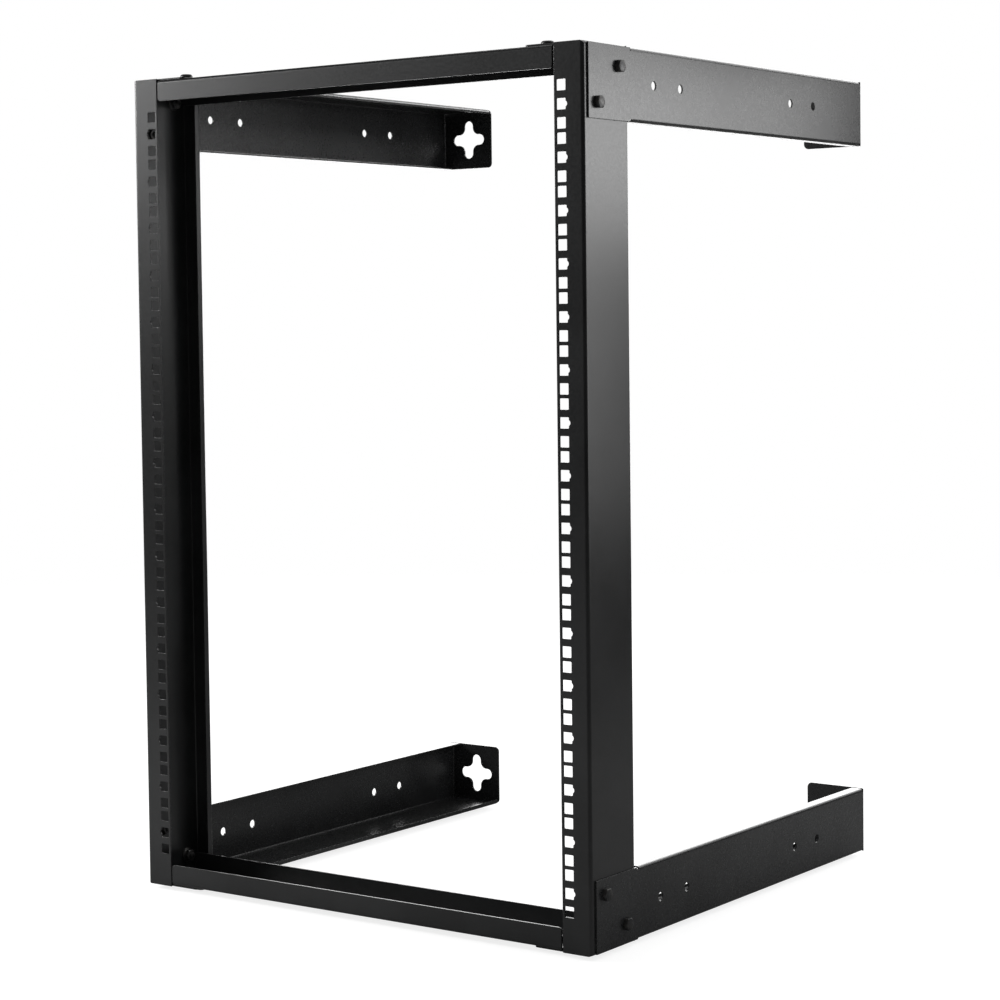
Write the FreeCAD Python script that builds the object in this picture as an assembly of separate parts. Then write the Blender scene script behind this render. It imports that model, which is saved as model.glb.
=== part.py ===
import FreeCAD, Part
import math
import os

# Wall mount open frame rack for 19 inch equipment, 16 units high.
# Two folded posts and two channel rails make the front frame, and four folded arms
# carry it off the wall. Everything is bent steel sheet, bolted together.
# Millimetres. +X is to the right seen from the front, +Y runs back to the wall, +Z is up.
# The origin is the middle of the whole object's base: half way between front and wall,
# at the underside of the lowest screw heads.

# Rack grid
UNIT = 44.45
UNITS = 16
UNIT_HOLES = (6.35, 22.225, 38.1)
COLUMN_SPACING = 465.1
HOLE_INSET = 6.8
SQUARE = 9.5
SQUARE_CORNER = 0.8
MARK_RADIUS = 2.7
MARK_DEPTH = 1.5

# Sheet
SHEET = 1.5
BEND = 1.5
RELIEF = 1.0

# Two measures closer than this are taken as equal
SAME = 0.01

# Overall depth, from the front face to the wall
DEPTH = 500.0

# Posts
POST_FACE = 29.25
POST_DEPTH = 70.0
POST_REAR = 21.5
POST_LIP = 8.0
POST_CORNER = 3.5
END_MARGIN = 29.4
TAB_REACH = 61.0
TAB_CORNER = 4.0

# Rails
RAIL_SETBACK = 14.0
RAIL_HEIGHT = 19.7
RAIL_GAP = 1.8
RAIL_CLEARANCE = 2.0
RAIL_CORNER = 3.0

# Arms
ARM_FRONT = 6.0
ARM_HEIGHT = 63.0
ARM_INSET = 1.0
ARM_FLANGE = 63.5
FLANGE_LIP = 5.0
EDGE_LIP = 12.0
FLANGE_CLEARANCE = 2.0
LIP_CLEARANCE = 4.5
NOTCH_DEPTH = 2.0
WALL_TAB = 63.5
WALL_TAB_CORNER = 5.0
SIDE_HOLE = 8.0
SIDE_HOLE_FIRST = 109.0
SIDE_HOLE_GAP = 245.0
SIDE_HOLE_RISE = 1.5

# Cross-shaped wall hole
CROSS_SPAN = 41.0
CROSS_BAR = 11.5
CROSS_FILLET = 7.5
CROSS_INSET = 33.5

# Fasteners
THREAD = 6.0
THREAD_PLAY = 0.1
HOLE_PLAY = 0.3
HEX_FLATS = 10.0
HEX_TURN = 30.0
CROWN_INSET = 0.2
CROWN_ANGLE = 30.0
BOLT_HEAD = 4.0
NUT_HEIGHT = 6.0
NUT_COLLAR = 14.0
NUT_COLLAR_RIM = 1.2
NUT_COLLAR_SLOPE = 1.3
SCREW_HEAD = 4.2
SCREW_HEAD_WIDTH = 12.0
SCREW_SHOULDER = 2.4
SCREW_NUT = 5.0
THREAD_PROUD = 2.0
POINT_CHAMFER = 0.8
RECESS_WIDTH = 1.4
RECESS_SPAN = 6.2
RECESS_DEPTH = 2.2
BOLT_FRONT = 20.0
BOLT_BACK = 17.0
BOLT_RISE = 16.0
BOLT_DROP = 1.7
SCREW_FRONT = 21.0
SCREW_INSET = 12.0

# A cutter through one sheet starts one sheet before it and ends one sheet past it
CUT = 3.0 * SHEET

# Places that follow from the sizes above
OPENING = COLUMN_SPACING - 2.0 * HOLE_INSET
FRONT = -DEPTH / 2.0
WALL = DEPTH / 2.0
POST_HEIGHT = UNITS * UNIT + 2.0 * END_MARGIN
POST_BOTTOM = SCREW_HEAD
POST_TOP = POST_BOTTOM + POST_HEIGHT
MIDDLE = (POST_BOTTOM + POST_TOP) / 2.0
GRID_TOP = POST_TOP - END_MARGIN
POST_OUT = OPENING / 2.0 + POST_FACE
POST_BACK = FRONT + POST_DEPTH
POST_IN = POST_OUT - SHEET
OUTER_BEND = BEND + SHEET
TAB_END = POST_OUT - TAB_REACH
TAB_BACK = POST_BACK - POST_LIP - RELIEF
RAIL_END = OPENING / 2.0 - RAIL_GAP
RAIL_TOP = POST_TOP - SHEET
RAIL_BACK = POST_BACK - RAIL_SETBACK
RAIL_REACH = POST_IN - NUT_HEIGHT - THREAD_PROUD - RAIL_CLEARANCE
WING_FRONT = FRONT + OUTER_BEND + RELIEF
ARM_OUT = POST_OUT + SHEET
ARM_TOP = POST_TOP - ARM_INSET
ARM_BOTTOM = ARM_TOP - ARM_HEIGHT
ARM_LINE = (ARM_TOP + ARM_BOTTOM) / 2.0
ARM_START = FRONT + ARM_FRONT
FLANGE_START = POST_BACK + FLANGE_CLEARANCE
LIP_START = POST_BACK + LIP_CLEARANCE
FOLD_END = WALL - OUTER_BEND - RELIEF
CROSS_X = ARM_OUT - CROSS_INSET
SIDE_HOLE_Z = ARM_LINE + SIDE_HOLE_RISE
SIDE_HOLE_YS = [
    FRONT + SIDE_HOLE_FIRST + pair * SIDE_HOLE_GAP + step * UNIT for pair in (0, 1) for step in (0, 1)
]
BOLT_PLACES = {
    "front": (FRONT + BOLT_FRONT, ARM_LINE - BOLT_DROP - BOLT_RISE),
    "rear": (POST_BACK - BOLT_BACK, ARM_LINE - BOLT_DROP + BOLT_RISE),
}
SCREW_X = TAB_END + SCREW_INSET
SCREW_Y = FRONT + SCREW_FRONT
CLEAR_RADIUS = THREAD / 2.0 + HOLE_PLAY


def vec(x, y, z):
    return FreeCAD.Vector(x, y, z)


def box(low, high):
    """Box between two opposite corners."""
    size = [b - a for a, b in zip(low, high)]
    return Part.makeBox(size[0], size[1], size[2], vec(*low))


def cylinder(radius, start, axis, length):
    return Part.makeCylinder(radius, length, start, axis)


def rounded_run(corners, radius, place):
    """Edges along corners that turn square, each corner rounded to radius."""
    edges = []
    start = corners[0]
    for before, corner, after in zip(corners, corners[1:], corners[2:]):
        came = (corner - before).normalize()
        goes = (after - corner).normalize()
        enter = corner - came * radius
        leave = corner + goes * radius
        centre = enter + goes * radius
        middle = centre + (corner - centre).normalize() * radius
        edges.append(Part.LineSegment(place(start), place(enter)).toShape())
        edges.append(Part.Arc(place(enter), place(middle), place(leave)).toShape())
        start = leave
    edges.append(Part.LineSegment(place(start), place(corners[-1])).toShape())
    return edges


def folded_sheet(outline, inward, place, travel):
    """Bent sheet: its outer line with square corners, run along travel.

    inward turns a direction of the line into the direction that points inside the fold.
    """
    outer = [vec(u, v, 0) for u, v in outline]
    runs = [(b - a).normalize() for a, b in zip(outer, outer[1:])]
    normals = [inward(run) for run in runs]
    inner = [outer[0] + normals[0] * SHEET]
    for corner, before, after in zip(outer[1:], normals, normals[1:]):
        inner.append(corner + (before + after) * SHEET)
    inner.append(outer[-1] + normals[-1] * SHEET)
    inner.reverse()
    edges = rounded_run(outer, OUTER_BEND, place)
    edges.append(Part.LineSegment(place(outer[-1]), place(inner[0])).toShape())
    edges += rounded_run(inner, BEND, place)
    edges.append(Part.LineSegment(place(inner[-1]), place(outer[0])).toShape())
    return Part.Face(Part.Wire(edges)).extrude(travel)


def turn_left(run):
    return vec(-run.y, run.x, 0)


def turn_right(run):
    return vec(run.y, -run.x, 0)


def round_corners(shape, radius, chosen):
    """Round the straight edges that chosen picks out."""
    edges = [edge for edge in shape.Edges if chosen(edge)]
    return shape.makeFillet(radius, edges)


def runs_along(edge, axis, length):
    """True for a straight edge of this length that is parallel to axis."""
    first = edge.Vertexes[0].Point
    span = edge.Vertexes[-1].Point - first
    return near(span.Length, length) and near(abs(span.dot(axis)), length)


def near(value, target):
    return abs(value - target) < SAME


def across(shape, mirrored):
    """Copy on the left side of the rack, or the shape itself."""
    return shape.mirror(vec(0, 0, 0), vec(1, 0, 0)) if mirrored else shape


def upended(shape, mirrored):
    """Copy at the other end of the rack's height, or the shape itself."""
    return shape.mirror(vec(0, 0, MIDDLE), vec(0, 0, 1)) if mirrored else shape


def square_hole(marked, z):
    """Cutter for one equipment hole, with a small round notch on its outer side if marked."""
    half = SQUARE / 2.0
    x = COLUMN_SPACING / 2.0
    start = FRONT - SHEET
    cutter = box((x - half, start, z - half), (x + half, start + CUT, z + half))
    cutter = round_corners(cutter, SQUARE_CORNER, lambda e: runs_along(e, vec(0, 1, 0), CUT))
    if marked:
        notch_x = x + half + MARK_DEPTH - MARK_RADIUS
        notch = cylinder(MARK_RADIUS, vec(notch_x, start, z), vec(0, 1, 0), CUT)
        cutter = cutter.fuse(notch).removeSplitter()
    return cutter


def equipment_holes():
    """The column of square holes, three to a unit, the middle one marked."""
    cutters = []
    for unit in range(UNITS):
        for index, offset in enumerate(UNIT_HOLES):
            z = GRID_TOP - unit * UNIT - offset
            cutters.append(square_hole(index == 1, z))
    return cutters


def post_tab():
    """The right post's top tab with its bend, and the web that it grows from."""
    outline = [(POST_OUT, POST_TOP - 2.0 * OUTER_BEND), (POST_OUT, POST_TOP), (TAB_END, POST_TOP)]
    tab_front = FRONT + SHEET + RELIEF
    tab = folded_sheet(
        outline, turn_left, lambda p: vec(p.x, tab_front, p.y), vec(0, TAB_BACK - tab_front, 0)
    )
    return round_corners(
        tab, TAB_CORNER, lambda e: runs_along(e, vec(0, 0, 1), SHEET) and near(e.Vertexes[0].X, TAB_END)
    )


def post_corner():
    """Cutter that rounds the upper outer corner of the right post's front flange."""
    low = vec(POST_OUT - POST_CORNER, FRONT - SHEET, POST_TOP - POST_CORNER)
    block = box(tuple(low), (POST_OUT + SHEET, FRONT + OUTER_BEND, POST_TOP + SHEET))
    return block.cut(cylinder(POST_CORNER, low, vec(0, 1, 0), 2.0 * OUTER_BEND))


def post():
    """Right post: a lipped channel with a tab folded over at each end."""
    outline = [
        (OPENING / 2.0, FRONT),
        (POST_OUT, FRONT),
        (POST_OUT, POST_BACK),
        (POST_OUT - POST_REAR, POST_BACK),
        (POST_OUT - POST_REAR, POST_BACK - POST_LIP),
    ]
    body = folded_sheet(outline, turn_left, lambda p: vec(p.x, p.y, POST_BOTTOM), vec(0, 0, POST_HEIGHT))
    opened = box(
        (POST_IN - BEND, FRONT + SHEET + BEND, POST_TOP - OUTER_BEND),
        (POST_OUT + SHEET, POST_BACK - OUTER_BEND, POST_TOP + SHEET),
    )
    tab = post_tab()
    body = body.cut(opened).cut(upended(opened, True)).fuse([tab, upended(tab, True)])
    corner = post_corner()
    cutters = equipment_holes() + [corner, upended(corner, True)]
    for y, z in BOLT_PLACES.values():
        hole = cylinder(CLEAR_RADIUS, vec(POST_IN - SHEET, y, z), vec(1, 0, 0), CUT)
        cutters += [hole, upended(hole, True)]
    hole = screw_hole()
    cutters += [hole, upended(hole, True)]
    return body.cut(cutters).removeSplitter()


def screw_hole():
    """Cutter for the screw that joins a tab and the rail under it."""
    return cylinder(CLEAR_RADIUS, vec(SCREW_X, SCREW_Y, POST_TOP - CUT), vec(0, 0, 1), CUT + SHEET)


def rail():
    """Top rail: a channel with both flanges down, under the posts' tabs.

    Its front flange ends between the posts. Its web and rear flange run on into them.
    """
    rail_bottom = RAIL_TOP - RAIL_HEIGHT
    outline = [(FRONT, rail_bottom), (FRONT, RAIL_TOP), (RAIL_BACK, RAIL_TOP), (RAIL_BACK, rail_bottom)]
    channel = folded_sheet(
        outline, turn_right, lambda p: vec(-RAIL_END, p.x, p.y), vec(2.0 * RAIL_END, 0, 0)
    )
    wing_line = [(WING_FRONT, RAIL_TOP)] + outline[2:]
    wings = folded_sheet(
        wing_line, turn_right, lambda p: vec(-RAIL_REACH, p.x, p.y), vec(2.0 * RAIL_REACH, 0, 0)
    )
    channel = channel.fuse(wings).removeSplitter()
    channel = round_corners(
        channel,
        RAIL_CORNER,
        lambda e: runs_along(e, vec(0, 1, 0), SHEET) and near(e.Vertexes[0].Z, rail_bottom),
    )
    hole = screw_hole()
    return channel.cut([hole, across(hole, True)])


def cross_hole():
    """Cutter for the wall hole: two crossed round-ended bars with filleted inner corners."""
    bar = CROSS_BAR / 2.0
    reach = CROSS_SPAN / 2.0
    turn = bar + CROSS_FILLET
    slant = turn - CROSS_FILLET * math.sqrt(0.5)
    start = WALL - 2.0 * SHEET
    edges = []
    for quarter in range(4):
        angle = math.radians(90.0 * quarter)

        def spot(u, v, angle=angle):
            x = u * math.cos(angle) - v * math.sin(angle)
            z = u * math.sin(angle) + v * math.cos(angle)
            return vec(CROSS_X + x, start, ARM_LINE + z)

        edges.append(Part.Arc(spot(reach - bar, -bar), spot(reach, 0), spot(reach - bar, bar)).toShape())
        edges.append(Part.LineSegment(spot(reach - bar, bar), spot(turn, bar)).toShape())
        edges.append(Part.Arc(spot(turn, bar), spot(slant, slant), spot(bar, turn)).toShape())
        edges.append(Part.LineSegment(spot(bar, turn), spot(bar, reach - bar)).toShape())
    return Part.Face(Part.Wire(edges)).extrude(vec(0, CUT, 0))


def wall_tab():
    """The upper right arm's rear tab, bent in from the web, with its cross-shaped hole."""
    outline = [(ARM_OUT, FOLD_END), (ARM_OUT, WALL), (ARM_OUT - WALL_TAB, WALL)]
    tab = folded_sheet(outline, turn_left, lambda p: vec(p.x, p.y, ARM_BOTTOM), vec(0, 0, ARM_HEIGHT))
    tab = round_corners(
        tab,
        WALL_TAB_CORNER,
        lambda e: runs_along(e, vec(0, 1, 0), SHEET) and near(e.Vertexes[0].X, ARM_OUT - WALL_TAB),
    )
    slot_low = box(
        (POST_OUT - SHEET, FOLD_END - RELIEF, ARM_BOTTOM - SHEET),
        (ARM_OUT + SHEET, FOLD_END + RELIEF, ARM_BOTTOM + OUTER_BEND),
    )
    slot_high = box(
        (POST_OUT - SHEET, FOLD_END - RELIEF, ARM_TOP - OUTER_BEND),
        (ARM_OUT + SHEET, FOLD_END + RELIEF, ARM_TOP + SHEET),
    )
    return tab.cut([slot_low, slot_high, cross_hole()])


def arm_folds():
    """The arm's long folds behind the post: wide top flange with its lip, and the lower lip."""
    flange_edge = ARM_OUT - ARM_FLANGE
    web_low = (ARM_OUT, ARM_BOTTOM + OUTER_BEND)
    flange_line = [(ARM_OUT, ARM_TOP), (flange_edge, ARM_TOP), (flange_edge, ARM_TOP - FLANGE_LIP)]
    lip_line = [(ARM_OUT - EDGE_LIP, ARM_BOTTOM), (ARM_OUT, ARM_BOTTOM)]
    first = folded_sheet(
        [web_low] + flange_line,
        turn_left,
        lambda p: vec(p.x, FLANGE_START, p.y),
        vec(0, LIP_START - FLANGE_START, 0),
    )
    second = folded_sheet(
        lip_line + flange_line,
        turn_left,
        lambda p: vec(p.x, LIP_START, p.y),
        vec(0, FOLD_END - LIP_START, 0),
    )
    return first, second


def arm():
    """Upper right arm: flat beside the post, folded behind it, with a tab for the wall."""
    flat = box((POST_OUT, ARM_START, ARM_BOTTOM), (ARM_OUT, FLANGE_START - RELIEF, ARM_TOP))
    bridge = box(
        (POST_OUT, ARM_START, ARM_BOTTOM),
        (ARM_OUT, LIP_START, ARM_TOP - OUTER_BEND),
    )
    notch = box(
        (POST_OUT - SHEET, POST_BACK + HOLE_PLAY, ARM_BOTTOM - SHEET),
        (ARM_OUT + SHEET, LIP_START, ARM_BOTTOM + NOTCH_DEPTH),
    )
    first, second = arm_folds()
    body = flat.fuse([bridge, first, second, wall_tab()]).removeSplitter().cut(notch)
    cutters = []
    for y in SIDE_HOLE_YS:
        start = vec(POST_OUT - SHEET, y, SIDE_HOLE_Z)
        cutters.append(cylinder(SIDE_HOLE / 2.0, start, vec(1, 0, 0), CUT))
    for y, z in BOLT_PLACES.values():
        cutters.append(cylinder(CLEAR_RADIUS, vec(POST_OUT - SHEET, y, z), vec(1, 0, 0), CUT))
    return body.cut(cutters).removeSplitter()


def hexagon(corner, height):
    """Hexagonal prism that stands on the origin, corner measured from its axis."""
    turns = [math.radians(60.0 * k + HEX_TURN) for k in range(7)]
    ring = [vec(corner * math.cos(turn), corner * math.sin(turn), 0) for turn in turns]
    return Part.Face(Part.makePolygon(ring)).extrude(vec(0, 0, height))


def hex_blank(height, both_ends):
    """Hexagonal blank on the origin, its sharp corners turned off at the top or at both ends."""
    corner = HEX_FLATS / math.sqrt(3.0)
    face = HEX_FLATS / 2.0 - CROWN_INSET
    fall = (corner - face) * math.tan(math.radians(CROWN_ANGLE))
    low_face = face if both_ends else corner
    profile = [(0, 0), (low_face, 0), (corner, fall), (corner, height - fall), (face, height), (0, height)]
    line = Part.makePolygon([vec(radius, 0, z) for radius, z in profile + profile[:1]])
    turned = Part.Face(line).revolve(vec(0, 0, 0), vec(0, 0, 1), 360.0)
    return hexagon(corner, height).common(turned)


def shank(length):
    """Threaded stem below the origin, its point chamfered."""
    radius = THREAD / 2.0
    stem = Part.makeCylinder(radius, length - POINT_CHAMFER, vec(0, 0, 0), vec(0, 0, -1))
    point = Part.makeCone(
        radius, radius - POINT_CHAMFER, POINT_CHAMFER, vec(0, 0, POINT_CHAMFER - length), vec(0, 0, -1)
    )
    return stem.fuse(point)


def hex_bolt():
    """Hex head bolt: head above the origin, stem below it."""
    head = hex_blank(BOLT_HEAD, False)
    return head.fuse(shank(2.0 * SHEET + NUT_HEIGHT + THREAD_PROUD)).removeSplitter()


def nut_bore(height):
    """Cutter for a nut's bore, which reaches past both ends of a nut of this height."""
    return Part.makeCylinder(THREAD / 2.0 + THREAD_PLAY, height + 2.0 * THREAD, vec(0, 0, -THREAD))


def flange_nut():
    """Nut with a collar, which stands on the origin."""
    collar = Part.makeCylinder(NUT_COLLAR / 2.0, NUT_COLLAR_RIM)
    slope = Part.makeCone(NUT_COLLAR / 2.0, HEX_FLATS / 2.0, NUT_COLLAR_SLOPE, vec(0, 0, NUT_COLLAR_RIM))
    body = hex_blank(NUT_HEIGHT, False)
    return body.fuse([collar, slope]).cut(nut_bore(NUT_HEIGHT)).removeSplitter()


def plain_nut():
    """Hexagonal nut that stands on the origin, chamfered at both ends."""
    return hex_blank(SCREW_NUT, True).cut(nut_bore(SCREW_NUT))


def pan_screw():
    """Pan head screw with a cross recess: head above the origin, stem below it."""
    head = Part.makeCylinder(SCREW_HEAD_WIDTH / 2.0, SCREW_HEAD)
    head = round_corners(head, SCREW_SHOULDER, lambda e: near(e.BoundBox.ZMin, SCREW_HEAD))
    slot = box(
        (-RECESS_SPAN / 2.0, -RECESS_WIDTH / 2.0, SCREW_HEAD - RECESS_DEPTH),
        (RECESS_SPAN / 2.0, RECESS_WIDTH / 2.0, SCREW_HEAD + RECESS_DEPTH),
    )
    slots = slot.fuse(slot.rotated(vec(0, 0, 0), vec(0, 0, 1), 90.0))
    stem = shank(2.0 * SHEET + SCREW_NUT + THREAD_PROUD)
    return head.cut(slots).fuse(stem).removeSplitter()


def placed(shape, point, turned):
    """A fastener on a seat at point, its own +Z turned to a direction by an axis and an angle."""
    axis, angle = turned
    moved = shape.rotated(vec(0, 0, 0), axis, angle)
    return moved.translated(point)


def build():
    """Every piece of the rack by node name."""
    outward = (vec(0, 1, 0), 90.0)
    inward = (vec(0, 1, 0), -90.0)
    upward = (vec(0, 0, 1), 0.0)
    downward = (vec(1, 0, 0), 180.0)
    right_post = post()
    top_rail = rail()
    upper_right_arm = arm()
    pieces = {
        "right_post": right_post,
        "left_post": across(right_post, True),
        "top_rail": top_rail,
        "bottom_rail": upended(top_rail, True),
    }
    for end, lower in (("upper", False), ("lower", True)):
        for side, left in (("right", False), ("left", True)):
            corner = end + "_" + side
            pieces[corner + "_arm"] = upended(across(upper_right_arm, left), lower)
            for where, (y, z) in BOLT_PLACES.items():
                bolt = placed(hex_bolt(), vec(ARM_OUT, y, z), outward)
                nut = placed(flange_nut(), vec(POST_IN, y, z), inward)
                pieces[corner + "_bolt_" + where] = upended(across(bolt, left), lower)
                pieces[corner + "_flange_nut_" + where] = upended(across(nut, left), lower)
            screw = placed(pan_screw(), vec(SCREW_X, SCREW_Y, POST_TOP), upward)
            nut = placed(plain_nut(), vec(SCREW_X, SCREW_Y, RAIL_TOP - SHEET), downward)
            pieces[corner + "_screw"] = upended(across(screw, left), lower)
            pieces[corner + "_screw_nut"] = upended(across(nut, left), lower)
    return pieces


os.makedirs("parts", exist_ok=True)
for name, shape in build().items():
    shape.exportStep("parts/" + name + ".step")
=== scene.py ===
"""Looks of a wall mount open frame rack: powder-coated folded steel in a white studio.

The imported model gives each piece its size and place. This script dresses those pieces,
gives the bolts and screws their threads, and makes the floor, the lamps and the camera.
Everything is in metres, with +X to the right seen from the front, +Y back to the wall and +Z up.
"""

import logging
import math
from dataclasses import dataclass, field
from enum import Enum
from typing import NamedTuple

import bmesh
import bpy
from mathutils import Euler, Matrix, Vector


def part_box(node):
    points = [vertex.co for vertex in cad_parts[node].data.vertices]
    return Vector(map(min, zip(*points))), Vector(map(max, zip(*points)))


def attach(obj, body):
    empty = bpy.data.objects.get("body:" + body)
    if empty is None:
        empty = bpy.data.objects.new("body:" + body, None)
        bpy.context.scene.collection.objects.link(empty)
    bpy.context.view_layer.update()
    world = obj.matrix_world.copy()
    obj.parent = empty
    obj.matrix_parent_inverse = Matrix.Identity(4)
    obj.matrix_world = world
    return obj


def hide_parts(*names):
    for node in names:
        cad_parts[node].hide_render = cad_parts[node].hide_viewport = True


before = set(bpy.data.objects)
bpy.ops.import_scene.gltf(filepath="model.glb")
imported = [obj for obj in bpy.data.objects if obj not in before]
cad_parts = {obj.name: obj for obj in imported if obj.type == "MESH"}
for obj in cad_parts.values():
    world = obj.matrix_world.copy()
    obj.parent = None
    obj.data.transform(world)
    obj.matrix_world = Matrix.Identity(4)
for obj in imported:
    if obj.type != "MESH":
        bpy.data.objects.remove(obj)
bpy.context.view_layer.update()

log = logging.getLogger("rack")

MILLIMETRE = 0.001


class Side(Enum):
    """The two sides of the rack, with the sign of X there."""

    RIGHT = 1.0
    LEFT = -1.0

    @property
    def word(self) -> str:
        """Word for this side in a node's name."""
        return self.name.lower()


class End(Enum):
    """The two ends of the rack's height."""

    UPPER = "upper"
    LOWER = "lower"


class Seat(Enum):
    """The two bolts that hold each arm on its post."""

    FRONT = "front"
    REAR = "rear"


class Slot(Enum):
    """Finishes that the record names."""

    POST_COAT = "post_coat"
    RAIL_COAT = "rail_coat"
    ARM_COAT = "arm_coat"
    BLACK_BOLT = "black_bolt"
    BLACK_NUT = "black_nut"


class MixKind(Enum):
    """What a mix node mixes: its data type, then the places of its two inputs and its output."""

    NUMBER = ("FLOAT", 2, 3, 0)
    COLOUR = ("RGBA", 6, 7, 2)


class Band(NamedTuple):
    """Stretch of a value over which an effect comes in."""

    start: float
    full: float


WHOLE = Band(0.0, 1.0)
Sockets = bpy.types.bpy_prop_collection


class NodeBench:
    """Adds and joins nodes in one node tree."""

    def __init__(self, tree: bpy.types.NodeTree) -> None:
        """Takes the tree that the nodes go into.

        Args:
            tree: material, world or group tree.
        """
        self.tree = tree

    def add(self, kind: str, **settings: object) -> bpy.types.Node:
        """Makes a node.

        Args:
            kind: Blender's type name of the node.
            settings: properties to set on it.

        Returns:
            The new node.
        """
        node = self.tree.nodes.new(kind)
        for name, value in settings.items():
            setattr(node, name, value)
        return node

    def put(self, value: object, socket: bpy.types.NodeSocket) -> None:
        """Sets one input, or links it where the value is an output.

        Args:
            value: a number, tuple or output socket.
            socket: the input.
        """
        if isinstance(value, bpy.types.NodeSocket):
            self.tree.links.new(value, socket)
        else:
            socket.default_value = value

    def feed(self, node: bpy.types.Node, **inputs: object) -> bpy.types.Node:
        """Sets or links inputs by name, with spaces written as underscores.

        Args:
            node: node whose inputs are fed.
            inputs: a number, tuple or output socket for each input.

        Returns:
            The same node.
        """
        for name, value in inputs.items():
            self.put(value, node.inputs[name.replace("_", " ")])
        return node

    def fill(self, node: bpy.types.Node, *values: object) -> bpy.types.Node:
        """Sets or links inputs in their order.

        Args:
            node: node whose inputs are filled.
            values: a number, tuple or output socket for each input.

        Returns:
            The same node.
        """
        for value, socket in zip(values, node.inputs):
            self.put(value, socket)
        return node

    def maths(self, operation: str, *values: object) -> bpy.types.NodeSocket:
        """Makes a maths node.

        Args:
            operation: Blender's name of the operation.
            values: a number or an output socket for each input in order.

        Returns:
            The node's output.
        """
        return self.fill(self.add("ShaderNodeMath", operation=operation), *values).outputs[0]

    def measure(self, operation: str, *vectors: object) -> bpy.types.NodeSocket:
        """Makes a vector maths node that gives a number.

        Args:
            operation: Blender's name of the operation.
            vectors: a tuple or an output socket for each input in order.

        Returns:
            The number.
        """
        node = self.fill(self.add("ShaderNodeVectorMath", operation=operation), *vectors)
        return node.outputs["Value"]

    def axes(self, vector: bpy.types.NodeSocket) -> Sockets:
        """Splits a vector.

        Args:
            vector: the vector.

        Returns:
            Outputs X, Y and Z.
        """
        return self.fill(self.add("ShaderNodeSeparateXYZ"), vector).outputs

    def noise(self, place: bpy.types.NodeSocket, scale: object, detail: float) -> bpy.types.NodeSocket:
        """Makes a noise texture.

        Args:
            place: coordinates that it follows.
            scale: features in each metre, as a number or a socket.
            detail: octaves of finer noise.

        Returns:
            Its value, about 0 to 1 round a middle of 0.5.
        """
        node = self.feed(self.add("ShaderNodeTexNoise"), Vector=place, Scale=scale, Detail=detail)
        return node.outputs["Fac"]

    def spread(self, value: bpy.types.NodeSocket, band: Band, low: object = 0.0,
               high: object = 1.0) -> bpy.types.NodeSocket:
        """Maps a band of a value smoothly onto a range.

        Args:
            value: the value to map.
            band: the stretch of it that is mapped.
            low: result at the band's start and before it.
            high: result at the band's end and past it.

        Returns:
            The mapped value.
        """
        node = self.add("ShaderNodeMapRange", interpolation_type="SMOOTHSTEP")
        self.feed(node, Value=value, From_Min=band.start, From_Max=band.full, To_Min=low, To_Max=high)
        return node.outputs["Result"]

    def mix(self, kind: MixKind, share: object, first: object, second: object) -> bpy.types.NodeSocket:
        """Mixes two numbers or two colours.

        Args:
            kind: what is mixed.
            share: how much of the second, as a number or a socket.
            first: value or socket.
            second: value or socket.

        Returns:
            The mixed value.
        """
        data_type, first_place, second_place, output_place = kind.value
        node = self.add("ShaderNodeMix", data_type=data_type)
        for value, place in ((share, 0), (first, first_place), (second, second_place)):
            self.put(value, node.inputs[place])
        return node.outputs[output_place]


def clear_tree(owner: object) -> NodeBench:
    """Empties the node tree of a material or world.

    Args:
        owner: the material or world.

    Returns:
        A bench on the empty tree.
    """
    owner.use_nodes = True
    owner.node_tree.nodes.clear()
    return NodeBench(owner.node_tree)


def grey(level: float, warmth: float = 0.0) -> tuple[float, float, float, float]:
    """A nearly neutral colour.

    Args:
        level: linear brightness.
        warmth: share by which red rises and blue falls.

    Returns:
        Red, green, blue and alpha.
    """
    return (level * (1.0 + warmth), level, level * (1.0 - warmth), 1.0)


WHITE = grey(1.0)


def start_group(name: str, inputs: dict[str, float], outputs: dict[str, str]) -> NodeBench:
    """Makes an empty shader node group with its sockets.

    Args:
        name: the group's name.
        inputs: each input's name and default value.
        outputs: each output's name and socket type.

    Returns:
        A bench on the group's tree.
    """
    tree = bpy.data.node_groups.new(name, "ShaderNodeTree")
    for socket_name, value in inputs.items():
        socket = tree.interface.new_socket(socket_name, in_out="INPUT", socket_type="NodeSocketFloat")
        socket.default_value = value
    for socket_name, kind in outputs.items():
        tree.interface.new_socket(socket_name, in_out="OUTPUT", socket_type=kind)
    return NodeBench(tree)


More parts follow.
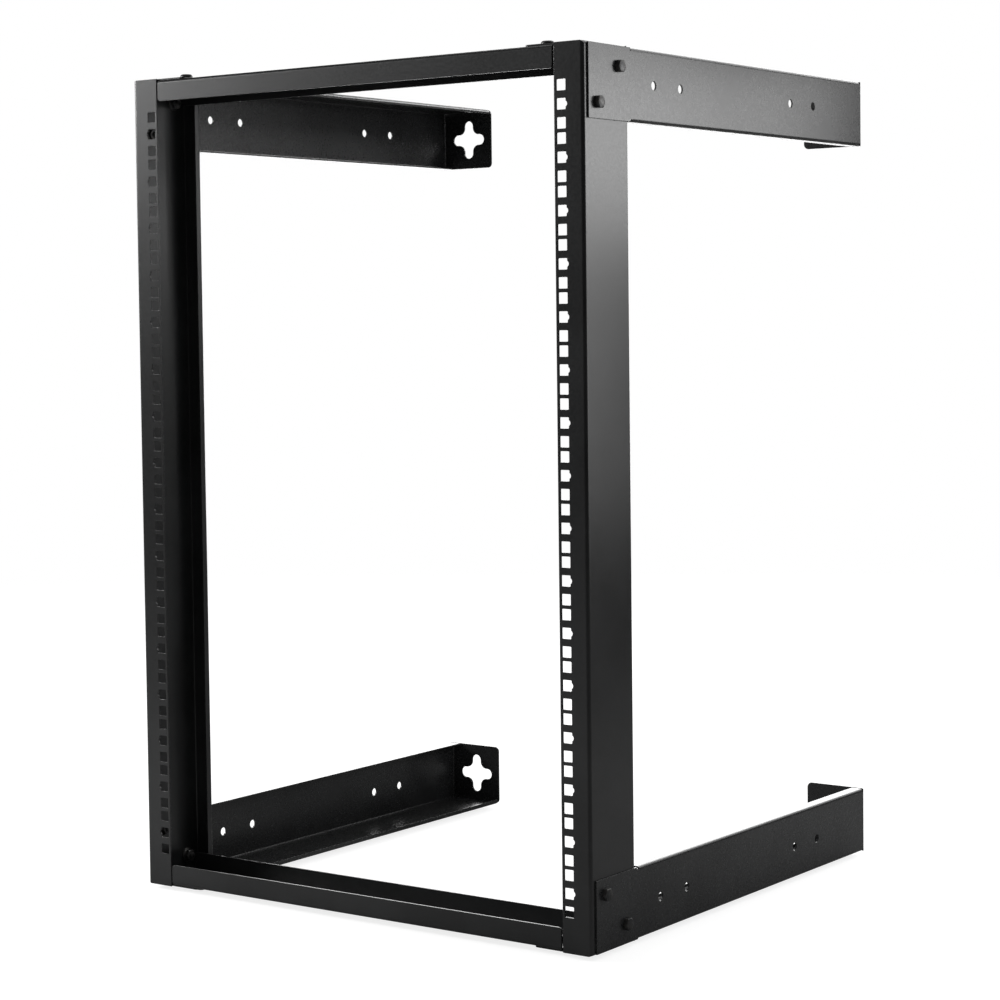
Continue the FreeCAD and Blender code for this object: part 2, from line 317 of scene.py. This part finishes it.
def orange_peel_group() -> bpy.types.NodeTree:
    """Skin of a sprayed or dipped surface: rolling peel, fine grain and slow drift of tone.

    Returns:
        The group, with outputs Height, Tone and Gloss, each about 0 to 1.
    """
    tone_band = Band(0.32, 0.68)
    gloss_band = Band(0.36, 0.64)
    grain_in_gloss = 0.4
    bench = start_group(
        "orange_peel",
        {"Peel": 520.0, "Grain": 2600.0, "Drift": 14.0, "Mottle": 380.0, "Grain Share": 0.35},
        {"Height": "NodeSocketFloat", "Tone": "NodeSocketFloat", "Gloss": "NodeSocketFloat"},
    )
    given = bench.add("NodeGroupInput").outputs
    place = bench.add("ShaderNodeTexCoord").outputs["Object"]
    peel = bench.noise(place, given["Peel"], detail=1.0)
    mottle = bench.noise(place, given["Mottle"], detail=2.0)
    grain = bench.noise(place, given["Grain"], detail=2.0)
    drift = bench.noise(place, given["Drift"], detail=3.0)
    height = bench.mix(MixKind.NUMBER, given["Grain Share"], peel, grain)
    gloss = bench.mix(MixKind.NUMBER, grain_in_gloss, mottle, grain)
    bench.feed(bench.add("NodeGroupOutput"), Height=height, Tone=bench.spread(drift, tone_band),
               Gloss=bench.spread(gloss, gloss_band))
    return bench.tree


def edge_line_group() -> bpy.types.NodeTree:
    """Edges softened by the finish, and a broken line along them: worn bare on the bolts, a painted
    highlight on the coat.

    An edge is where the softened normal turns away from the flat one, by the cosine between them.

    Returns:
        The group, with a mask of the broken edge line, and output Normal.
    """
    turn_band = Band(0.995, 0.86)
    patchy_band = Band(0.42, 0.62)
    least_edge_line = 0.15
    bench = start_group(
        "edge_rub",
        {"Radius": 0.0004, "Breakup": 260.0},
        {"Rub": "NodeSocketFloat", "Normal": "NodeSocketVector"},
    )
    given = bench.add("NodeGroupInput").outputs
    rounded = bench.feed(bench.add("ShaderNodeBevel", samples=6), Radius=given["Radius"]).outputs["Normal"]
    flat = bench.add("ShaderNodeNewGeometry").outputs["Normal"]
    edge = bench.spread(bench.measure("DOT_PRODUCT", rounded, flat), turn_band)
    place = bench.add("ShaderNodeTexCoord").outputs["Object"]
    patchy = bench.noise(place, given["Breakup"], detail=3.0)
    broken = bench.spread(patchy, patchy_band, low=least_edge_line)
    bench.feed(bench.add("NodeGroupOutput"), Rub=bench.maths("MULTIPLY", edge, broken), Normal=rounded)
    return bench.tree


def handling_group() -> bpy.types.NodeTree:
    """Faint traces of handling: soft smears along the sheet and a little settled dust.

    Returns:
        The group, with outputs Smear and Dust, both masks.
    """
    smear_band = Band(0.5, 0.74)
    upward_band = Band(0.5, 0.95)
    speck_band = Band(0.6, 0.72)
    bench = start_group(
        "handling",
        {"Smear Scale": 9.0, "Dust Scale": 1500.0},
        {"Smear": "NodeSocketFloat", "Dust": "NodeSocketFloat"},
    )
    given = bench.add("NodeGroupInput").outputs
    place = bench.add("ShaderNodeTexCoord").outputs["Object"]
    broad = bench.noise(place, given["Smear Scale"], detail=4.0)
    specks = bench.noise(place, given["Dust Scale"], detail=1.0)
    normal = bench.add("ShaderNodeNewGeometry").outputs["Normal"]
    facing_up = bench.spread(bench.axes(normal)["Z"], upward_band)
    dust = bench.maths("MULTIPLY", facing_up, bench.spread(specks, speck_band))
    bench.feed(bench.add("NodeGroupOutput"), Smear=bench.spread(broad, smear_band), Dust=dust)
    return bench.tree


@dataclass(frozen=True)
class Effects:
    """The node groups that the finishes share."""

    orange_peel: bpy.types.NodeTree
    edge_rub: bpy.types.NodeTree
    handling: bpy.types.NodeTree

    @classmethod
    def make(cls) -> "Effects":
        """Builds each group once."""
        return cls(orange_peel_group(), edge_line_group(), handling_group())


def place_group(bench: NodeBench, tree: bpy.types.NodeTree, **inputs: object) -> Sockets:
    """Puts a shared group into a material with its own values.

    Args:
        bench: bench on the material's tree.
        tree: the shared group.
        inputs: a value for each input that differs from the group's default.

    Returns:
        The group's outputs.
    """
    return bench.feed(bench.add("ShaderNodeGroup", node_tree=tree), **inputs).outputs


def start_material(name: str) -> tuple[bpy.types.Material, NodeBench, bpy.types.Node]:
    """Makes a material with a surface shader joined to its output.

    Args:
        name: the material's name.

    Returns:
        The material, a bench on its tree, and the surface shader.
    """
    material = bpy.data.materials.new(name)
    bench = clear_tree(material)
    surface = bench.add("ShaderNodeBsdfPrincipled")
    bench.feed(bench.add("ShaderNodeOutputMaterial"), Surface=surface.outputs["BSDF"])
    return material, bench, surface


def skin_normal(bench: NodeBench, height: bpy.types.NodeSocket, normal: bpy.types.NodeSocket,
                depth: float) -> bpy.types.NodeSocket:
    """Bends a normal by the skin's height.

    Args:
        bench: bench on the material's tree.
        height: the skin's height, 0 to 1.
        normal: normal under the skin.
        depth: what a height of 1 stands for, in metres.

    Returns:
        The bent normal.
    """
    bump = bench.feed(bench.add("ShaderNodeBump"), Height=height, Normal=normal, Distance=depth,
                      Strength=1.0)
    return bump.outputs["Normal"]


@dataclass(frozen=True)
class PowderCoat:
    """Satin black powder coat on bent sheet steel.

    Tones are linear. Along the edges the colour lightens to a pale grey: a painted highlight,
    partly also the coat thinning there. The roughness plays both ways round its middle with the
    skin, rises by smear_haze in smears and falls by rub_polish along the edges. Lengths are in
    metres.
    """

    name: str
    colour: float = 0.009
    warmth: float = -0.03
    drift: float = 0.25
    # painted edge highlight: a pale tone and its share mixed in along the edge line, partly a thinner coat
    # there
    edge_highlight: float = 0.05
    edge_highlight_warmth: float = 0.02
    edge_wear_and_highlight_share: float = 0.35
    dust: float = 0.10
    dust_tone: float = 0.22
    dust_warmth: float = 0.05
    roughness: float = 0.30
    roughness_play: float = 0.022
    smear_haze: float = 0.008
    rub_polish: float = 0.06
    peel_depth: float = 0.000028
    edge_radius: float = 0.0005

    def make(self, effects: Effects) -> bpy.types.Material:
        """Builds the material.

        Args:
            effects: the shared node groups.

        Returns:
            The finished material.
        """
        material, bench, surface = start_material(self.name)
        peel = place_group(bench, effects.orange_peel)
        edge = place_group(bench, effects.edge_rub, Radius=self.edge_radius)
        handled = place_group(bench, effects.handling)
        normal = skin_normal(bench, peel["Height"], edge["Normal"], self.peel_depth)
        bench.feed(surface, Base_Color=self.tone(bench, peel, edge, handled),
                   Roughness=self.satin(bench, peel, edge, handled), Normal=normal)
        return material

    def tone(self, bench: NodeBench, peel: Sockets, edge: Sockets,
             handled: Sockets) -> bpy.types.NodeSocket:
        """Colour of the coat, thin on rubbed edges and dusty where it faces up.

        Args:
            bench: bench on the material's tree.
            peel: outputs of the skin.
            edge: outputs of the edge line.
            handled: outputs of the traces of handling.

        Returns:
            The colour.
        """
        deep = grey(self.colour * (1.0 - self.drift), self.warmth)
        light = grey(self.colour * (1.0 + self.drift), self.warmth)
        coat = bench.mix(MixKind.COLOUR, peel["Tone"], deep, light)
        edge_line_share = bench.maths("MULTIPLY", edge["Rub"], self.edge_wear_and_highlight_share)
        # painted highlight along the edges, partly the coat thinning there
        coat_with_edge_highlight = bench.mix(MixKind.COLOUR, edge_line_share, coat, grey(self.edge_highlight, self.edge_highlight_warmth))
        settled = bench.maths("MULTIPLY", handled["Dust"], self.dust)
        return bench.mix(MixKind.COLOUR, settled, coat_with_edge_highlight, grey(self.dust_tone, self.dust_warmth))

    def satin(self, bench: NodeBench, peel: Sockets, edge: Sockets,
              handled: Sockets) -> bpy.types.NodeSocket:
        """Roughness of the coat, hazy in smears and polished along its edges.

        Args:
            bench: bench on the material's tree.
            peel: outputs of the skin.
            edge: outputs of the edge line.
            handled: outputs of the traces of handling.

        Returns:
            The roughness.
        """
        satin = bench.spread(peel["Gloss"], WHOLE, self.roughness - self.roughness_play,
                             self.roughness + self.roughness_play)
        hazy = bench.maths("ADD", satin, bench.maths("MULTIPLY", handled["Smear"], self.smear_haze))
        return bench.maths("SUBTRACT", hazy, bench.maths("MULTIPLY", edge["Rub"], self.rub_polish))


@dataclass(frozen=True)
class BlackOxide:
    """Blackened steel of bolts, screws and nuts: tone that drifts at random, bare on rubbed edges.

    Its skin is finer than the coat's, so it gives the shared groups its own features in each
    metre. Tones are linear and lengths are in metres.
    """

    name: str
    colour: float = 0.03
    drift: float = 0.3
    warmth: float = 0.04
    bare: float = 0.22
    bare_warmth: float = 0.02
    edge_wear_and_highlight_share: float = 0.5
    metal: float = 0.55
    bare_metal: float = 0.9
    roughness: float = 0.36
    smoother: float = 0.08
    rougher: float = 0.1
    peel_scale: float = 1900.0
    grain_scale: float = 9000.0
    drift_scale: float = 160.0
    grain_share: float = 0.6
    breakup_scale: float = 900.0
    grain_depth: float = 0.000006
    edge_radius: float = 0.00025

    def make(self, effects: Effects) -> bpy.types.Material:
        """Builds the material.

        Args:
            effects: the shared node groups.

        Returns:
            The finished material.
        """
        material, bench, surface = start_material(self.name)
        skin = place_group(bench, effects.orange_peel, Peel=self.peel_scale, Grain=self.grain_scale,
                           Drift=self.drift_scale, Grain_Share=self.grain_share)
        edge = place_group(bench, effects.edge_rub, Radius=self.edge_radius, Breakup=self.breakup_scale)
        dark = grey(self.colour * (1.0 - self.drift), -self.warmth)
        light = grey(self.colour * (1.0 + self.drift), self.warmth)
        oxide = bench.mix(MixKind.COLOUR, skin["Tone"], dark, light)
        edge_line_share = bench.maths("MULTIPLY", edge["Rub"], self.edge_wear_and_highlight_share)
        tone = bench.mix(MixKind.COLOUR, edge_line_share, oxide, grey(self.bare, self.bare_warmth))
        metal = bench.spread(edge["Rub"], WHOLE, self.metal, self.bare_metal)
        rough = bench.spread(skin["Gloss"], WHOLE, self.roughness - self.smoother,
                             self.roughness + self.rougher)
        normal = skin_normal(bench, skin["Height"], edge["Normal"], self.grain_depth)
        bench.feed(surface, Base_Color=tone, Metallic=metal, Roughness=rough, Normal=normal)
        return material


class Finishes:
    """The five finishes of the rack, one for each slot of the record."""

    def __init__(self, effects: Effects) -> None:
        """Builds every finish.

        Args:
            effects: the shared node groups.
        """
        recipes = {
            Slot.POST_COAT: PowderCoat("post_powder_coat"),
            Slot.RAIL_COAT: PowderCoat("rail_powder_coat", colour=0.0088, roughness=0.31),
            Slot.ARM_COAT: PowderCoat("arm_powder_coat", colour=0.0092, roughness=0.29),
            Slot.BLACK_BOLT: BlackOxide("bolt_black_oxide"),
            Slot.BLACK_NUT: BlackOxide("nut_black_oxide", colour=0.036, roughness=0.42),
        }
        self.materials = {slot: recipe.make(effects) for slot, recipe in recipes.items()}

    def dress(self, piece: bpy.types.Object, slot: Slot) -> None:
        """Gives a piece its finish.

        Args:
            piece: object with a mesh.
            slot: the finish.
        """
        material = self.materials[slot]
        if not piece.material_slots:
            piece.data.materials.append(material)
        for place in piece.material_slots:
            place.material = material
        log.info("%s is finished with %s", piece.name, material.name)


@dataclass
class SheetFrame:
    """The folded sheet pieces: two posts, two rails and four arms."""

    slots: dict[str, Slot] = field(default_factory=dict)

    def __post_init__(self) -> None:
        """Names each sheet piece and its finish."""
        for side in Side:
            self.slots[f"{side.word}_post"] = Slot.POST_COAT
        for rail in ("top_rail", "bottom_rail"):
            self.slots[rail] = Slot.RAIL_COAT
        for end in End:
            for side in Side:
                self.slots[f"{end.value}_{side.word}_arm"] = Slot.ARM_COAT

    def dress(self, finishes: Finishes) -> None:
        """Gives each sheet piece its coat."""
        for node, slot in self.slots.items():
            finishes.dress(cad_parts[node], slot)


@dataclass(frozen=True)
class Thread:
    """Rolled metric thread on a stem."""

    radius: float = 3.0 * MILLIMETRE
    pitch: float = 1.0 * MILLIMETRE
    depth: float = 0.55 * MILLIMETRE
    crest: float = 0.15
    point: float = 0.8 * MILLIMETRE
    segments: int = 36
    rows_in_pitch: int = 10

    def profile(self, phase: float) -> float:
        """Depth of the groove at a phase of the pitch.

        Args:
            phase: place in the pitch, in turns.

        Returns:
            Depth below the crest.
        """
        from_root = abs((phase % 1.0) - 0.5) * 2.0
        rise = min(1.0, from_root / (1.0 - self.crest))
        return self.depth * (1.0 - rise)

    def radius_at(self, height: float, turn: float, length: float) -> float:
        """Radius of the stem's skin.

        Args:
            height: distance from the head.
            turn: angle round the stem, in turns.
            length: length of the stem.

        Returns:
            The radius there, with the point chamfered.
        """
        threaded = self.radius - self.profile(height / self.pitch - turn)
        to_end = length - height
        chamfered = self.radius - max(0.0, self.point - to_end)
        return min(threaded, chamfered)

    def grow(self, mesh: bmesh.types.BMesh, frame_of_stem: Matrix, length: float) -> None:
        """Adds the threaded stem to a mesh.

        Args:
            mesh: mesh that takes the stem.
            frame_of_stem: place of the stem, which runs along its own +Z from its origin.
            length: length of the stem.
        """
        rows = int(round(length / self.pitch * self.rows_in_pitch))
        rings = []
        for row in range(rows + 1):
            height = length * row / rows
            ring = []
            for step in range(self.segments):
                turn = step / self.segments
                radius = self.radius_at(height, turn, length)
                angle = 2.0 * math.pi * turn
                spot = Vector((radius * math.cos(angle), radius * math.sin(angle), height))
                ring.append(mesh.verts.new(frame_of_stem @ spot))
            rings.append(ring)
        for lower, upper in zip(rings, rings[1:]):
            for step in range(self.segments):
                after = (step + 1) % self.segments
                mesh.faces.new((lower[step], lower[after], upper[after], upper[step]))
        mesh.faces.new(rings[0][::-1])
        mesh.faces.new(rings[-1])


@dataclass(frozen=True)
class ThreadedFastener:
    """A bolt or screw whose plain stem is remade with its thread, its head kept as it is."""

    node: str
    seat: Vector
    along: Vector
    length: float
    thread: Thread = Thread()
    weld: float = 0.000001
    sharp_angle: float = 28.0

    def head(self) -> bmesh.types.BMesh:
        """Copies the node's head, without its stem.

        Returns:
            The head alone.
        """
        mesh = bmesh.new()
        mesh.from_mesh(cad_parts[self.node].data)
        bmesh.ops.remove_doubles(mesh, verts=mesh.verts, dist=self.weld)
        stem = [vert for vert in mesh.verts if (vert.co - self.seat).dot(self.along) > self.weld]
        bmesh.ops.delete(mesh, geom=stem, context="VERTS")
        return mesh

    def stem_frame(self) -> Matrix:
        """Place of the stem, whose origin is on the head's underside."""
        turn = Vector((0.0, 0.0, 1.0)).rotation_difference(self.along).to_matrix().to_4x4()
        return Matrix.Translation(self.seat) @ turn

    def make(self, finishes: Finishes) -> bpy.types.Object:
        """Builds the fastener and puts it in the node's place.

        Args:
            finishes: the rack's finishes.

        Returns:
            The new piece.
        """
        mesh = self.head()
        self.thread.grow(mesh, self.stem_frame(), self.length)
        data = bpy.data.meshes.new(f"{self.node}_threaded")
        mesh.to_mesh(data)
        mesh.free()
        data.shade_smooth()
        data.set_sharp_from_angle(angle=math.radians(self.sharp_angle))
        piece = bpy.data.objects.new(f"{self.node}_threaded", data)
        bpy.context.scene.collection.objects.link(piece)
        finishes.dress(piece, Slot.BLACK_BOLT)
        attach(piece, "root")
        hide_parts(self.node)
        return piece


@dataclass
class CornerFasteners:
    """What holds one corner: two hex bolts with flange nuts, and a pan head screw with its nut."""

    end: End
    side: Side
    bolt_head: float = 4.0 * MILLIMETRE
    screw_head: float = 4.2 * MILLIMETRE

    @property
    def corner(self) -> str:
        """Start of this corner's node names."""
        return f"{self.end.value}_{self.side.word}"

    def bolt(self, seat: Seat) -> ThreadedFastener:
        """One of the arm's bolts, which runs inward from the arm's outer face."""
        node = f"{self.corner}_bolt_{seat.value}"
        low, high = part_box(node)
        middle = (low + high) / 2.0
        inward = Vector((-self.side.value, 0.0, 0.0))
        outer = high.x if self.side is Side.RIGHT else low.x
        start = Vector((outer, middle.y, middle.z)) + inward * self.bolt_head
        return ThreadedFastener(node, start, inward, high.x - low.x - self.bolt_head)

    def screw(self) -> ThreadedFastener:
        """The corner's screw, which runs through the post's tab and the rail."""
        node = f"{self.corner}_screw"
        low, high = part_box(node)
        middle = (low + high) / 2.0
        upper = self.end is End.UPPER
        inward = Vector((0.0, 0.0, -1.0 if upper else 1.0))
        outer = high.z if upper else low.z
        start = Vector((middle.x, middle.y, outer)) + inward * self.screw_head
        return ThreadedFastener(node, start, inward, high.z - low.z - self.screw_head)

    def make(self, finishes: Finishes) -> None:
        """Builds the corner's bolts and screw, and dresses its nuts."""
        for fastener in (self.bolt(Seat.FRONT), self.bolt(Seat.REAR), self.screw()):
            piece = fastener.make(finishes)
            log.info("%s stands for %s", piece.name, fastener.node)
        nuts = [f"{self.corner}_flange_nut_{seat.value}" for seat in Seat]
        for nut in nuts + [f"{self.corner}_screw_nut"]:
            finishes.dress(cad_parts[nut], Slot.BLACK_NUT)


@dataclass(frozen=True)
class Softbox:
    """A rectangular studio lamp that looks at a point, in metres.

    Its radiance is the brightness of its face as seen from anywhere in front. A lamp whose
    fan is under 180 degrees has a grid: its light keeps to that fan, and its face is brighter.
    """

    name: str
    place: tuple[float, float, float]
    size: tuple[float, float]
    radiance: float
    target: tuple[float, float, float] = (0.0, 0.0, 0.40)
    fan_degrees: float = 180.0

    def make(self) -> bpy.types.Object:
        """Builds the lamp, which mirrors show and the camera doesn't."""
        light = bpy.data.lights.new(self.name, "AREA")
        light.shape = "RECTANGLE"
        width, height = self.size
        light.size = width
        light.size_y = height
        light.energy = self.radiance * width * height * math.pi
        light.spread = math.radians(self.fan_degrees)
        lamp = bpy.data.objects.new(self.name, light)
        lamp.location = self.place
        look = Vector(self.target) - Vector(self.place)
        lamp.rotation_euler = look.to_track_quat("-Z", "Y").to_euler()
        lamp.visible_camera = False
        bpy.context.scene.collection.objects.link(lamp)
        return lamp


@dataclass(frozen=True)
class RaySplit:
    """Masks that tell the rays apart in one tree."""

    bench: NodeBench
    shown: bpy.types.NodeSocket
    mirrored: bpy.types.NodeSocket

    @classmethod
    def make(cls, bench: NodeBench) -> "RaySplit":
        """Makes the masks of the rays that show the background and of those that are mirrored.

        Args:
            bench: bench on the tree.
        """
        rays = bench.add("ShaderNodeLightPath").outputs
        shown = bench.maths("MAXIMUM", rays["Is Camera Ray"], rays["Is Transmission Ray"])
        return cls(bench, shown, rays["Is Glossy Ray"])

    def level(self, shown: object, mirrored: object, plain: object) -> bpy.types.NodeSocket:
        """Takes a level for each kind of ray, as a number or a socket.

        Args:
            shown: level for the rays that show the background.
            mirrored: level for the mirrored rays.
            plain: level for all others, which light the rack.

        Returns:
            The level.
        """
        unseen = self.bench.mix(MixKind.NUMBER, self.mirrored, plain, mirrored)
        return self.bench.mix(MixKind.NUMBER, self.shown, unseen, shown)


@dataclass
class Studio:
    """White room, pale floor and six lamps.

    The black coat shows little but what it mirrors, so the mirrored levels are apart from the
    white that is seen and from the plain light. What mirrors see of the floor is painted light
    and shade: the front shading in front and the back shading behind, each from left to right
    over its band of X and joined over depth_band of Y, in metres; lighter to the left in front
    and darker to the left behind, under the rack. The room's behind_band is of a direction's Y,
    and its patch_band is of the cosine between a direction and patch_way.
    """

    floor_radius: float = 3.0
    floor_fade: float = 1.1
    floor_drop: float = 0.0002
    floor_colour: float = 0.85
    floor_seen: float = 0.30
    floor_lift: float = 0.82
    front_painted_shading: tuple[float, float] = (0.42, 0.23)
    front_band: Band = Band(-0.4, 0.3)
    back_painted_shading: tuple[float, float] = (0.13, 0.27)
    back_band: Band = Band(-0.1, 0.45)
    depth_band: Band = Band(-0.05, 0.15)
    room_seen: float = 1.0
    room_plain: float = 0.45
    mirrored_even: float = 0.010
    mirrored_behind: float = 0.020
    behind_band: Band = Band(0.6, 1.0)
    mirrored_above: float = 0.043
    mirrored_patch: float = 2.0
    patch_way: tuple[float, float, float] = (-0.03, 0.91, 0.41)
    patch_band: Band = Band(0.900, 0.970)
    softboxes: tuple[Softbox, ...] = (
        Softbox("right_softbox", place=(0.732, 0.280, 0.693), size=(0.43, 0.82), radiance=2.66),
        Softbox("right_strip", place=(0.648, 0.427, 0.739), size=(0.52, 0.20), radiance=3.51),
        Softbox("left_softbox", place=(-2.066, -1.253, 1.263), size=(0.64, 0.75), radiance=35.5),
        Softbox("back_panel", place=(-1.35, 2.30, 0.95), size=(2.7, 1.7), radiance=4.4),
        Softbox("overhead", place=(-0.20, 0.20, 2.20), size=(1.3, 1.3), radiance=1.6),
        Softbox("inner_softbox", place=(0.33, 0.95, 1.17), size=(0.45, 0.30), radiance=1.25,
                target=(-0.25, 0.23, 0.74), fan_degrees=50.0),
    )

    def world(self) -> None:
        """Makes the room: white where it is seen, dim where it is mirrored, plain as light."""
        world = bpy.data.worlds.new("studio_room")
        bpy.context.scene.world = world
        bench = clear_tree(world)
        way = bench.add("ShaderNodeTexCoord").outputs["Generated"]
        axes = bench.axes(way)
        above = bench.maths("MULTIPLY", bench.maths("MAXIMUM", axes["Z"], 0.0), self.mirrored_above)
        behind = bench.spread(axes["Y"], self.behind_band, high=self.mirrored_behind)
        toward = bench.measure("DOT_PRODUCT", way, self.patch_way)
        patch = bench.spread(toward, self.patch_band, high=self.mirrored_patch)
        dim = bench.maths("ADD", bench.maths("ADD", above, behind), self.mirrored_even)
        dim = bench.maths("ADD", dim, patch)
        level = RaySplit.make(bench).level(self.room_seen, dim, self.room_plain)
        light = bench.feed(bench.add("ShaderNodeBackground"), Color=WHITE, Strength=level)
        bench.feed(bench.add("ShaderNodeOutputWorld"), Surface=light.outputs[0])

    def floor_material(self) -> bpy.types.Material:
        """Pale matt floor that fades into the white room and keeps the rack's shadow; mirrors see painted
        light and shade on it.
        """
        material = bpy.data.materials.new("pale_floor")
        bench = clear_tree(material)
        place = bench.add("ShaderNodeTexCoord").outputs["Object"]
        axes = bench.axes(place)
        # painted light and shade on the floor, seen only in mirrors: lighter to the left in front, darker
        # to the left behind
        front = bench.spread(axes["X"], self.front_band, *self.front_painted_shading)
        back = bench.spread(axes["X"], self.back_band, *self.back_painted_shading)
        mirrored = bench.mix(MixKind.NUMBER, bench.spread(axes["Y"], self.depth_band), front, back)
        rays = RaySplit.make(bench)
        tone = rays.level(self.floor_seen, mirrored, self.floor_colour)
        lift = bench.maths("MULTIPLY", rays.shown, self.floor_lift)
        matt = bench.feed(bench.add("ShaderNodeBsdfDiffuse"), Color=tone)
        glow = bench.feed(bench.add("ShaderNodeEmission"), Color=WHITE, Strength=lift)
        surface = bench.fill(bench.add("ShaderNodeAddShader"), matt.outputs[0], glow.outputs[0])
        clear = bench.add("ShaderNodeBsdfTransparent")
        reach = bench.measure("LENGTH", place)
        gone = bench.spread(reach, Band(self.floor_fade, self.floor_radius))
        fading = bench.fill(bench.add("ShaderNodeMixShader"), gone, surface.outputs[0], clear.outputs[0])
        bench.feed(bench.add("ShaderNodeOutputMaterial"), Surface=fading.outputs[0])
        return material

    def floor(self) -> bpy.types.Object:
        """Makes the round floor just under the rack."""
        mesh = bmesh.new()
        bmesh.ops.create_circle(mesh, cap_ends=True, radius=self.floor_radius, segments=96)
        data = bpy.data.meshes.new("studio_floor")
        mesh.to_mesh(data)
        mesh.free()
        data.materials.append(self.floor_material())
        floor = bpy.data.objects.new("studio_floor", data)
        floor.location.z = -self.floor_drop
        bpy.context.scene.collection.objects.link(floor)
        return floor

    def make(self) -> None:
        """Builds the room, the floor and the lamps."""
        self.world()
        log.info("%s laid", self.floor().name)
        for softbox in self.softboxes:
            log.info("%s hung", softbox.make().name)


@dataclass(frozen=True)
class PhotoCamera:
    """The camera of the photograph, fitted to the posts' hole grid."""

    place: tuple[float, float, float] = (1.38932, -1.98209, 0.54371)
    turn_degrees: tuple[float, float, float] = (86.9908, 0.7446, 36.3452)
    focal_pixels: float = 2477.85
    axis_pixel: tuple[float, float] = (450.0, 450.0)
    image_side: float = 1000.0
    sensor: float = 36.0

    def make(self) -> bpy.types.Object:
        """Builds the camera and makes it the scene's."""
        data = bpy.data.cameras.new("photo_camera")
        data.sensor_width = self.sensor
        data.lens = self.focal_pixels / self.image_side * self.sensor
        middle = self.image_side / 2.0
        data.shift_x = (middle - self.axis_pixel[0]) / self.image_side
        data.shift_y = (self.axis_pixel[1] - middle) / self.image_side
        camera = bpy.data.objects.new("photo_camera", data)
        camera.location = self.place
        camera.rotation_euler = Euler([math.radians(angle) for angle in self.turn_degrees], "XYZ")
        bpy.context.scene.collection.objects.link(camera)
        bpy.context.scene.camera = camera
        return camera


def main() -> None:
    """Builds the studio, the camera and every finish, then dresses the rack."""
    logging.basicConfig(level=logging.INFO, format="%(message)s")
    bpy.context.scene.view_settings.view_transform = "Standard"
    log.info("%s placed", PhotoCamera().make().name)
    Studio().make()
    finishes = Finishes(Effects.make())
    SheetFrame().dress(finishes)
    for end in End:
        for side in Side:
            CornerFasteners(end, side).make(finishes)


if __name__ == "__main__":
    main()
